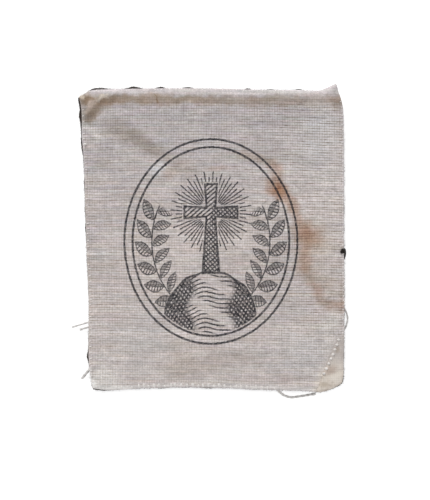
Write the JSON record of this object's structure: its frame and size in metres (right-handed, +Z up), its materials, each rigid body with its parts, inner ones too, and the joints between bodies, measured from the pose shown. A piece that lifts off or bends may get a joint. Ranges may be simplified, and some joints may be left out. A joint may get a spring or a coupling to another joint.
{
  "type": "devotional scapular panel",
  "caption": "Small flat cloth badge: printed white cotton whipped over a dark wool backing, with a turned corner, stains and loose ends of thread.",
  "frame": {"origin": "middle of the underside, on the surface that the panel lies on", "axes": "+Z up out of the printed face, +Y towards the hemmed top edge, +X to the right as seen from above"},
  "size_m": [0.052, 0.0582, 0.0036],
  "materials": {
    "wool": "dark wool cloth, short nap",
    "cotton": "aged white plain-weave cotton, printed and stained",
    "lining": "fine cream cloth, blotched",
    "sewing_thread": "twisted white cotton thread",
    "dark_thread": "twisted dark brown thread"
  },
  "bodies": {
    "root": {"back_panel": "wool", "front_panel": "cotton", "corner_lining": "lining", "thread_left_long": "sewing_thread", "thread_left_short": "sewing_thread", "thread_left_low": "sewing_thread", "thread_bottom": "sewing_thread", "thread_right_loop": "sewing_thread", "tape_stitch": "dark_thread"}
  },
  "joints": []
}
